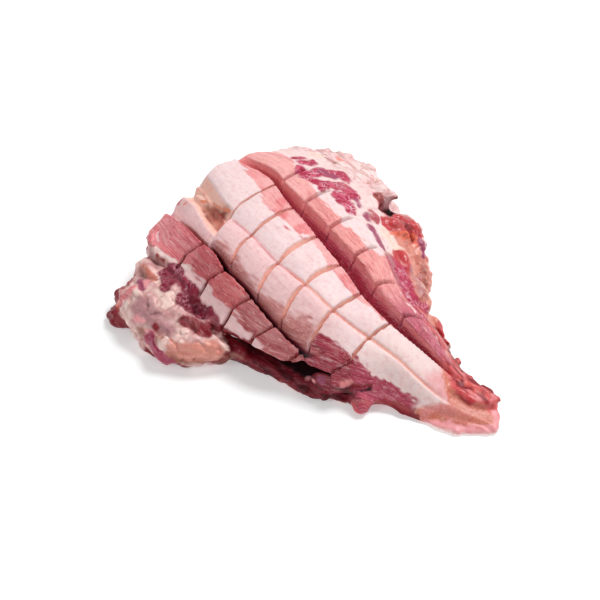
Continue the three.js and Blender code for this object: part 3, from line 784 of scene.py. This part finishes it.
class Coat:
    """The tissue at every vertex, laid on layer by layer, and what the layers go by."""

    def __init__(self, v, coarse, fine):
        self.rows = np.tile(tissue("fat"), (len(v), 1))
        self.v = v
        self.x, self.y, self.z = x, y, z = v.T
        self.straight = face(x, y)[1]
        self.line = {name: curve(k, 1, x) for name, k in LINES.items()}
        self.depth = np.clip(scored_top(x, y)[1] - z, 0, 60)
        self.inside = inside_by(x, y, RING)
        self.inner = rise(self.inside, 1, 3)  # 0 on the slab's own side faces, 1 in its cuts
        self.loose = looseness(x, y)
        self.fold = np.maximum(0.8 * np.exp(-((coarse / 0.08) ** 2)), 0.7 * np.exp(-((fine / 0.16) ** 2)))
        lengthwise = np.stack([x / 4, y, z], 1)  # noise on this runs along the fibres
        self.feather = 4.2 * noise(lengthwise, 1.9, 11) + 2.6 * noise(lengthwise, 4.5, 12)
        self.shred = noise(lengthwise, 3.2, 16)
        self.wob = 1.6 * noise(v, 8, 13) + 1.0 * noise(v, 3.2, 14)
        self.cloud = noise(v, 11, 15)

    def lay(self, name, amount, where=slice(None)):
        self.rows[where] += amount[:, None] * (tissue(name) - self.rows[where])

    def left_of(self, name, soft=3.0, by=0.0):
        """1 to the left of a guide line, 0 to its right, with the change moved right by `by`."""
        return edge(self.line[name] + by - self.y, soft)


def paint_fat(c):
    """Creamy on the right, pinker towards the left as painted shade on the tiles that face away from the
    light, duller on the left side with painted shade in greyish patches and folds.
    """
    x, y, cloud = c.x, c.y, c.cloud
    tiles = c.left_of("right_cut")
    c.lay("pale_fat", rise(y, c.line["right_strip"], 6))
    # Painted shade: the tiles left of the crease face away from the light.
    c.lay("pink_fat", c.left_of("crease", 6) * fall(x, 70, 30))
    # Partly painted shade: the left side's fat is duller, and laid darker as it faces away from the light.
    c.lay("dull_fat", c.left_of("left_rim", 6))
    c.lay("rosy", 0.22 * rise(cloud, 0.1, 0.5) * rise(x, 40, 40) * tiles)
    c.lay("pale_fat", 0.9 * rise(x, 60, 30) * tiles)
    c.lay("rosy", 0.75 * rise(x + 3 * c.wob, 112, 16) * tiles * (1 - c.left_of("crease", 6)))
    left_side = c.loose * c.left_of("left_rim")
    c.lay("cream", 0.85 * left_side * rise(cloud, -0.15, 0.4))
    # Painted shade in greyish patches over the left side.
    c.lay("grey", 0.6 * left_side * fall(cloud, -0.2, 0.3))
    # Painted shade in the folds of the loose sides.
    c.lay("crease", 0.75 * c.loose * c.fold)


def paint_hidden_sides(c):
    """Lean and fat in ragged layers over the broad end, and patches of lean below."""
    lower = band(c.z + 7 * c.cloud + 2 * c.wob, 16, 36, 3)
    upper = band(c.z + 5 * c.cloud - 2 * c.wob, 45, 52, 3)
    broad_end = fall(c.inside, 6, 4) * fall(c.x, -60, 30)
    c.lay("muscle", broad_end * np.maximum(lower, upper) * rise(c.y, -50, 20))
    c.lay("muscle", fall(c.z, 3, 3) * rise(c.cloud, -0.1, 0.3))


def paint_lean(c):
    """The lean edge of the middle tiles, and the strip past the deep cut."""
    x, y = c.x, c.y
    ragged = 0.35 + 0.65 * fall(x, 30, 40)
    c.tile_lean = edge(y - curve(LEAN_MARGIN, 1, x) + c.feather * ragged, 2)
    lean_edge = c.tile_lean * c.left_of("right_cut", 3, 2) * fall(x, TILE_LEAN_END, 8)
    c.lay("salmon", lean_edge)
    c.lay("pale_pink", 0.45 * lean_edge * rise(c.cloud, -0.1, 0.4))
    strip_fat = np.minimum(curve(STRIP_FAT, 1, x), c.line["right_strip"] + 2)
    c.strip = edge(strip_fat - y + c.feather, 2.5) * rise(y, c.line["right_cut"] + 2, 3)
    c.strip *= fall(x, STRIP_END, 8) * np.maximum(fall(c.depth, 14, 5), c.inner)
    c.lay("strip", c.strip)
    c.lay("pale_pink", 0.35 * c.strip * fall(x, -20, 50))
    c.lay("far_strip", c.strip * rise(x, 45, 40))


def paint_left_strip(c):
    """The left strip, the brown ends of the tiles beside it, and the lean under the last tiles."""
    x, y = c.x, c.y
    fat = curve(LEFT_FAT, 1, x)
    strip = c.left_of("left_cut", 2, 1)
    lean = edge(y - fat + 0.6 * c.feather, 2) * strip * fall(x, LEFT_STRIP_END, 4)
    c.lay("brown_lean", lean)
    c.lay("muscle", 0.45 * lean * band(x, -80, -46, 6))
    c.lay("dusky", 0.8 * lean * rise(x, -16, 6))
    ends = edge(curve(TILE_ENDS, 1, x) + 3 - y + 0.9 * c.feather, 7) * (1 - c.left_of("left_cut", 2))
    c.lay("brown_end", 0.75 * ends * fall(x, 48, 4) * rise(x, -76, 4))
    c.lay("first_lean", fall(x, -70, 8) * rise(y, fat, 2) * strip)
    c.low_lean = edge(curve(TIP_LEAN, 1, x) - y + 0.5 * c.feather, 2) * rise(x, 46, 4) * fall(x, 126, 8)
    c.lay("row_lean", c.low_lean)
    c.lay("low_lean", c.low_lean * rise(x, 78, 8))


def paint_walls(c):
    """The cuts' walls, with painted shade: pale at the lips, then red and darker with depth, and black at the
    bottom on the left.
    """
    x, y, depth, low_lean = c.x, c.y, c.depth, c.low_lean
    outer_left = c.left_of("left_cut", 2)
    middle = (1 - outer_left) * c.left_of("right_cut", 2)
    cut_middle = c.inner * middle
    on_top = rise(y, c.line["left_cut"] + 3, 4)
    lean_here = np.clip(c.strip + c.tile_lean + low_lean + 1 - middle, 0, 1)
    # Painted shade: the fat walls of the middle tiles, peach.
    c.lay("peach", rise(depth, 0.6, 1.4) * cut_middle * (1 - low_lean) * on_top)
    c.lay("salmon", rise(depth, 1.5, 4) * cut_middle * lean_here)
    # Painted shade, salmon, low in the cuts.
    c.lay("salmon", 0.6 * rise(depth, 7, 4) * cut_middle * on_top)
    c.lay("wall", rise(depth, 2, 5) * c.strip * c.inner)
    in_right = c.inner * (1 - c.left_of("right_cut", 2, -1)) * c.left_of("right_lip", 2, 1) * rise(x, -134, 8)
    paler = 3 * fall(x, 10, 60)  # the wall stays pale further down towards the broad end
    # Painted shade: the right cut's wall paler at its lip, redder and darker deeper down.
    c.lay("wall_top", in_right * rise(depth, 0.2, 1.2))
    c.lay("wall", in_right * rise(depth, 2 + paler, 7))
    c.lay("wall_deep", in_right * rise(depth, 10 + paler, 12))
    c.lay("wall_deep", 0.5 * in_right * rise(depth, 2, 5) * rise(x, 45, 30))
    in_left = c.inner * (1 - c.left_of("left_cut", 2, -5)) * c.left_of("left_cut", 2, 6) * fall(x, 60, 12)
    tile_side = rise(y, c.line["left_cut"] - 1, 2)  # the wall that is the middle tiles' own
    # Painted shade: the left cut's walls darker with depth, and black at the bottom.
    c.lay("wall_deep", in_left * rise(depth, 1 + 4 * tile_side, 4 + 3 * tile_side))
    c.lay("dark", in_left * rise(depth, 6, 9))
    outer_left *= c.inner * rise(y, c.line["left_rim"], 3)
    # Painted shade, deep red, on the strip's side of the left cut.
    c.lay("brown_dark", outer_left * rise(depth, 1.5, 4) * fall(x, 60, 10))


def paint_crease_shade(c):
    # Painted shade, pink, along the crease where the tiles dip to it.
    beside = np.abs(c.y - c.line["crease"] + 0.3 * c.wob)
    amount = (0.35 + 0.35 * fall(c.x, 30, 40)) * rise(c.x, -72, 6) * fall(c.x, 142, 12)
    c.lay("rosy", amount * fall(beside, 1.6, 1.4) * fall(c.depth, 6, 3))


def paint_overhang_shadow(c):
    """Painted shadow under the overhang: the flap laid deep red with near-black patches, near-black behind
    its lit rim, and a brown painted highlight along its foot.
    """
    x, y, z = c.x, c.y, c.z
    under = fall(z, 24, 6) * rise(x + 0.8 * (z - 8), -20, 8) * fall(x, 92, 10) * fall(y, -14, 10)
    # Painted shadow, deep red with near-black patches, over the flap's own deep red.
    c.lay("deep", under)
    c.lay("dark", 0.55 * under * rise(c.shred, -0.1, 0.4))
    # A painted highlight, brown, along the flap's foot.
    c.lay("brown_end", 0.7 * under * fall(z, 5, 3) * fall(c.shred, -0.1, 0.3))
    along = x - FLAP_MIDDLE
    bow = 1 - np.sqrt(np.clip(1 - (along / FLAP_HALF) ** 2, 0, 1))
    rim = FLAP_NEAR + FLAP_LEAN * along + FLAP_BOW * bow
    # Painted shadow, near-black, behind the flap's lit rim.
    c.lay("dark", under * rise(y + c.wob, rim + FLAP_RIM_WIDTH, 4) * fall(z, 22, 3))


def paint_sunk_gap(c):
    """The gap behind the sunk tile."""
    beside = c.y - c.line["crease"]
    gap = c.inner * rise(beside, -14, 4) * fall(beside, 0.5, 3) * fall(c.x, SUNK_END - 2, 3)
    c.lay("peach", gap)
    c.lay("apricot", gap * rise(c.depth + c.wob, 5, 3) * rise(c.x, -128, 12))


def paint_torn_side(c):
    """Torn lean and fat to the right of the far strip, and its ragged edge."""
    x, beyond = c.x, c.y - c.line["right_strip"]
    torn = rise(beyond, 1, 3) * rise(x + c.wob, 24, 6) * fall(x, 150, 10)
    c.lay("apricot", torn)
    c.lay("tan", 0.9 * torn * rise(c.cloud, 0.05, 0.3))
    c.lay("pale_tan", 0.7 * torn * fall(c.shred, -0.25, 0.2))
    c.lay("crimson", torn * fall(beyond - 2 * c.wob, 12, 3) * fall(x, 96, 10))
    ragged = rise(beyond + 0.6 * c.feather, -2, 3) * rise(x, 82, 6) * fall(x, 152, 8)
    c.lay("red", ragged)
    c.lay("dark_red", ragged * rise(c.cloud, 0.05, 0.2))
    c.lay("apricot", 0.8 * ragged * rise(c.wob, 0.9, 0.5))


def paint_tip(c):
    """Rind, with the fat running into it in a wedge, and torn lean along the right side."""
    x, y, wob = c.x, c.y, c.wob
    wedge_x, wedge_y = WEDGE_TIP
    left_of_wedge = edge(x - y - (wedge_x - wedge_y) + 1 + wob, 4)
    right_of_wedge = edge(x - wedge_x + 1.5 * np.maximum(y - wedge_y, 0) + 1.5 * wob, 5)
    rind = rise(x + 3 * wob, RIND_START, 8) * rise(y, c.line["left_rim"] - 6, 4)
    rind *= np.maximum(left_of_wedge, right_of_wedge)
    c.lay("rind", rind)
    c.lay("rosy", 0.6 * rind * rise(c.cloud, 0.1, 0.4))
    c.lay("tan", 0.6 * rind * np.maximum(fall(c.cloud, -0.1, 0.4), rise(x, 136, 12)))
    torn = rise(x + 2 * wob, 114, 10) * rise(y + wob, curve(TORN_EDGE, 1, x), 3)
    c.lay("clump", torn)
    c.lay("dark_red", 0.9 * torn * rise(c.shred, 0.1, 0.25) * fall(x, 166, 10))
    c.lay("rosy", 0.8 * torn * fall(c.shred, -0.2, 0.25))


def chain_distance(points, spots):
    """Distance from each point to the string of straight pieces through the spots."""
    spots = np.array(spots, float)
    best = np.full(len(points), 1e9)
    for a, b in zip(spots[:-1], spots[1:]) if len(spots) > 1 else ((spots[0], spots[0]),):
        step = b - a
        t = np.clip((points - a) @ step / max(step @ step, 1e-9), 0, 1)
        best = np.minimum(best, np.linalg.norm(points - a - t[:, None] * step, axis=1))
    return best


def warped(v):
    """The vertices pushed about, so that what is painted by them gets ragged edges."""
    out = v.copy()
    for axis in range(3):
        out[:, axis] += 1.3 * noise(v, 6, 31 + axis) + 0.9 * noise(v, 2.6, 41 + axis)
    return out


def paint_spots(c):
    ragged = warped(c.v)
    for name, *strings in SPOTS:
        places = c.v if name in THIN else ragged
        soft = THIN_EDGE if name in THIN else BLURRED_EDGE if name in BLURRED else SPOT_EDGE
        for radius, *spots in strings:
            low = np.min(spots, axis=0) - radius - SPOT_REACH
            high = np.max(spots, axis=0) + radius + SPOT_REACH
            near = np.flatnonzero(((ragged > low) & (ragged < high)).all(1))
            away = chain_distance(places[near], spots)
            c.lay(name, edge(radius - away + 0.8 * c.wob[near], soft), near)


def paint_seams_and_fold_shade(c):
    """Seams between the folds of the loose sides, over everything, partly painted shade in the folds."""
    beyond = rise(c.y, c.line["right_strip"] + 2, 4)
    seam_and_shade = c.loose * c.fold
    c.lay("pink_fat", 0.7 * c.loose * beyond * rise(c.cloud, 0.1, 0.4) * fall(c.x, 0, 10))
    # Painted shade in the folds, pale brown, red-brown and greyish, partly the folds' own seams.
    c.lay("crease", 0.3 * seam_and_shade * beyond)
    c.lay("red_brown", 0.45 * seam_and_shade * beyond * rise(c.x, 0, 10))
    c.lay("grey", 0.3 * seam_and_shade * c.left_of("left_rim") * rise(c.z, 22, 6))


def paint(v, coarse, fine):
    """The tissue at each vertex, and its place along the fibres."""
    coat = Coat(v, coarse, fine)
    for layer in (
        paint_fat, paint_hidden_sides, paint_lean, paint_left_strip, paint_walls, paint_crease_shade,
        paint_overhang_shadow, paint_sunk_gap, paint_torn_side, paint_tip, paint_spots, paint_seams_and_fold_shade,
    ):
        layer(coat)
    return coat.rows, np.stack([coat.x, coat.straight, coat.z], 1) / 1000


# ---------- the mesh


def build_meat():
    field, low, relief = meat_field()
    vertices, quads = keep_biggest(*skin(field, low, VOXEL))
    vertices = relax(vertices, edges_of(quads), 2)
    vertices[:, 2] = np.maximum(vertices[:, 2], 0)
    cell = np.round((vertices - low) / VOXEL).astype(int)
    cell = tuple(np.clip(cell, 0, np.array(field.shape) - 1).T)
    rows, flow = paint(vertices, *(grid[cell] for grid in relief))
    tint = rows[:, [0, 1, 2, 6]]
    grain = np.concatenate([rows[:, 3:6], np.ones((len(rows), 1))], 1)
    mesh = bpy.data.meshes.new("jowl_meat")
    mesh.vertices.add(len(vertices))
    mesh.loops.add(quads.size)
    mesh.polygons.add(len(quads))
    placed = (vertices - (*ORIGIN, 0)) / 1000
    mesh.vertices.foreach_set("co", placed.astype(np.float32).ravel())
    mesh.loops.foreach_set("vertex_index", quads.astype(np.int32).ravel())
    mesh.polygons.foreach_set("loop_start", np.arange(0, quads.size, 4, dtype=np.int32))
    mesh.polygons.foreach_set("use_smooth", np.ones(len(quads), bool))
    mesh.update(calc_edges=True)
    for name, values in (("tint", tint), ("grain", grain)):
        layer = mesh.attributes.new(name, "FLOAT_COLOR", "POINT")
        layer.data.foreach_set("color", values.astype(np.float32).ravel())
    layer = mesh.attributes.new("flow", "FLOAT_VECTOR", "POINT")
    layer.data.foreach_set("vector", flow.astype(np.float32).ravel())
    piece = bpy.data.objects.new("jowl_meat", mesh)
    bpy.context.scene.collection.objects.link(piece)
    print("meat", len(vertices), "vertices")
    return piece


# ---------- materials


WHITE = (1.0, 1.0, 1.0, 1.0)


class Graph:
    """A short hand for wiring one material's nodes."""

    def __init__(self, name):
        self.material = bpy.data.materials.new(name)
        self.material.use_nodes = True
        self.tree = self.material.node_tree
        self.shader = self.tree.nodes["Principled BSDF"]

    def node(self, kind, links=(), **settings):
        made = self.tree.nodes.new("ShaderNode" + kind)
        for key, value in settings.items():
            setattr(made, key, value)
        for socket, value in dict(links).items():
            self.put(made.inputs[socket], value)
        return made

    def put(self, socket, value):
        if isinstance(value, bpy.types.NodeSocket):
            self.tree.links.new(value, socket)
        else:
            socket.default_value = value

    def math(self, operation, a, b=0.0):
        return self.node("Math", {0: a, 1: b}, operation=operation).outputs[0]

    def times(self, a, b):
        return self.math("MULTIPLY", a, b)

    def mix(self, factor, a, b, blend="MIX"):
        return self.node("Mix", {0: factor, 6: a, 7: b}, data_type="RGBA", blend_type=blend).outputs[2]

    def tinge(self, colour, mask, strength, other, blend="MIX"):
        """The colour, blended with another one where the mask is."""
        return self.mix(self.times(mask, strength), colour, linear(*other), blend)

    def noise(self, vector, scale, detail=3.0, rough=0.55, warp=0.0):
        links = {"Vector": vector, "Scale": scale, "Detail": detail, "Roughness": rough, "Distortion": warp}
        return self.node("TexNoise", links).outputs["Fac"]

    def bend(self, vector, scale, amount):
        made = self.node("TexNoise", {"Vector": vector, "Scale": scale, "Detail": 1.0}).outputs["Color"]
        centred = self.node("VectorMath", {0: made, 1: (0.5, 0.5, 0.5)}, operation="SUBTRACT").outputs[0]
        return self.node("VectorMath", {0: centred, 3: amount * 2}, operation="SCALE").outputs[0]

    def stretched(self, vector, scale):
        return self.node("Mapping", {"Vector": vector, "Scale": scale}).outputs[0]

    def step(self, value, low, high):
        links = {"Value": value, "From Min": low, "From Max": high}
        return self.node("MapRange", links, interpolation_type="SMOOTHSTEP").outputs[0]

    def finish(self, inputs):
        for name, value in inputs.items():
            self.put(self.shader.inputs[name], value)
        return self.material


def meat_material():
    g = Graph("jowl")
    tint = g.node("Attribute", attribute_name="tint")
    grain = g.node("Attribute", attribute_name="grain")
    fibrous, netted, specked = g.node("SeparateColor", {"Color": grain.outputs["Color"]}).outputs
    wet = tint.outputs["Alpha"]
    flow = g.node("Attribute", attribute_name="flow").outputs["Vector"]
    place = g.node("TexCoord").outputs["Object"]
    speck = g.noise(place, 620.0, 3.0, 0.6)
    pores = g.noise(place, 260.0, 4.0, 0.6)
    fibre = g.noise(g.stretched(flow, (50.0, 1000.0, 620.0)), 1.0, 3.0, 0.6, 0.5)
    bundle = g.noise(g.stretched(flow, (13.0, 240.0, 190.0)), 1.0, 2.0, 0.5, 0.7)
    sinew = g.noise(g.stretched(flow, (16.0, 560.0, 360.0)), 1.0, 2.0, 0.5, 0.9)
    ridge = g.math("ABSOLUTE", g.math("SUBTRACT", sinew, 0.5))
    # Shade every tissue up and down a little, the lean along its fibres.
    colour = g.tinge(tint.outputs["Color"], g.step(pores, 0.35, 0.75), 0.25, (255, 255, 255), "SOFT_LIGHT")
    colour = g.tinge(colour, g.step(pores, 0.5, 0.25), 0.22, (214, 150, 150), "MULTIPLY")
    colour = g.tinge(colour, g.times(fibrous, g.step(fibre, 0.55, 0.3)), 0.6, (190, 120, 130), "MULTIPLY")
    colour = g.tinge(colour, g.times(fibrous, g.step(bundle, 0.46, 0.28)), 0.6, (206, 120, 140), "MULTIPLY")
    colour = g.tinge(colour, g.times(fibrous, g.step(bundle, 0.54, 0.72)), 0.3, (246, 196, 192))
    colour = g.tinge(colour, g.times(fibrous, g.step(ridge, 0.022, 0.004)), 0.5, (244, 206, 204))
    # The pale net between the grains of the clusters.
    bent = g.node("VectorMath", {0: place, 1: g.bend(place, 300.0, 0.0022)}, operation="ADD").outputs[0]
    cells = g.node("TexVoronoi", {"Vector": bent, "Scale": 240.0}, feature="DISTANCE_TO_EDGE").outputs[0]
    grains = g.node("TexVoronoi", {"Vector": bent, "Scale": 240.0}, feature="F1").outputs["Color"]
    picked = g.node("SeparateColor", {"Color": grains}).outputs[0]
    pick = g.times(g.step(netted, 0.5, 1.0), g.step(picked, 0.55, 0.95))
    colour = g.tinge(colour, pick, 0.7, (214, 96, 122))
    net = g.times(g.step(cells, 0.14, 0.0), g.step(g.noise(place, 130.0, 2.0), 0.42, 0.66))
    colour = g.tinge(colour, net, g.times(netted, netted), (222, 172, 186))
    # Specks on rind.
    colour = g.tinge(colour, g.times(specked, g.step(speck, 0.52, 0.66)), 0.6, (204, 108, 82))
    colour = g.tinge(colour, g.times(specked, g.step(speck, 0.44, 0.36)), 0.6, (246, 206, 184))
    # The wetter the smoother, over the relief of fibres, pores and net.
    rough = g.math("SUBTRACT", 0.58, g.times(wet, 0.3))
    height = g.times(g.times(fibrous, fibre), 0.9)
    height = g.math("ADD", height, g.times(pores, 0.7))
    height = g.math("ADD", height, g.times(g.times(netted, cells), 2.0))
    bump = g.node("Bump", {"Height": height, "Strength": 0.55, "Distance": 0.001}).outputs[0]
    return g.finish({
        "Base Color": colour,
        "Roughness": g.math("ADD", rough, g.times(pores, 0.12)),
        "Specular IOR Level": 0.2,
        "Subsurface Weight": 0.2,
        "Subsurface Radius": (1.0, 0.35, 0.25),
        "Subsurface Scale": 0.002,
        "Normal": bump,
        "Coat Normal": bump,
        "Coat Weight": g.times(g.times(wet, wet), 0.4),
        "Coat Roughness": 0.22,
    })


def floor_material():
    g = Graph("floor")
    tone = g.noise(g.node("TexCoord").outputs["Object"], 3.0)
    return g.finish({
        "Base Color": g.mix(tone, (0.765, 0.785, 0.785, 1), (0.785, 0.805, 0.805, 1)),
        "Emission Color": WHITE,
        "Emission Strength": 0.34,
        "Roughness": 0.9,
        "Specular IOR Level": 0.1,
    })


# ---------- stage, light and camera


def stage():
    mesh = bpy.data.meshes.new("floor")
    r = 6.0
    mesh.from_pydata([(-r, -r, 0), (r, -r, 0), (r, r, 0), (-r, r, 0)], [], [(0, 1, 2, 3)])
    floor = bpy.data.objects.new("floor", mesh)
    floor.location.z = -0.0004
    floor.data.materials.append(floor_material())
    bpy.context.scene.collection.objects.link(floor)


def area_light(name, place, aim, size, power):
    light = bpy.data.lights.new(name, "AREA")
    light.shape = "DISK"
    light.size = size
    light.energy = power
    lamp = bpy.data.objects.new(name, light)
    lamp.location = place
    lamp.rotation_euler = (Vector(aim) - Vector(place)).to_track_quat("-Z", "Y").to_euler()
    bpy.context.scene.collection.objects.link(lamp)


def light_and_camera():
    scene = bpy.context.scene
    scene.view_settings.view_transform = "Standard"
    world = bpy.data.worlds.new("studio")
    world.use_nodes = True
    background = world.node_tree.nodes["Background"]
    background.inputs["Color"].default_value = WHITE
    background.inputs["Strength"].default_value = 0.3
    scene.world = world
    area_light("key", (0.4, 1.6, 2.8), (0, 0, 0.03), 1.5, 92)
    area_light("fill", (-0.4, -2.2, 1.7), (0, 0, 0.03), 1.0, 14)
    # The camera stands off the tip's left side, looking down on the scored face.
    azimuth, elevation, distance = math.radians(46), math.radians(44), 0.9
    back = Vector((
        math.sin(azimuth) * math.cos(elevation),
        -math.cos(azimuth) * math.cos(elevation),
        math.sin(elevation),
    ))
    right = Vector((math.cos(azimuth), math.sin(azimuth), 0))
    up = back.cross(right)
    camera = bpy.data.objects.new("camera", bpy.data.cameras.new("camera"))
    camera.data.lens = 70
    camera.data.sensor_width = 36
    turn = Matrix((right, up, back)).transposed()
    look = Vector((-ORIGIN[0] / 1000, -ORIGIN[1] / 1000, 0.030))
    camera.matrix_world = Matrix.Translation(look + back * distance) @ turn.to_4x4()
    scene.collection.objects.link(camera)
    scene.camera = camera


light_and_camera()
stage()
meat = build_meat()
meat.data.materials.append(meat_material())
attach(meat, "root")
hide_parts("jowl")
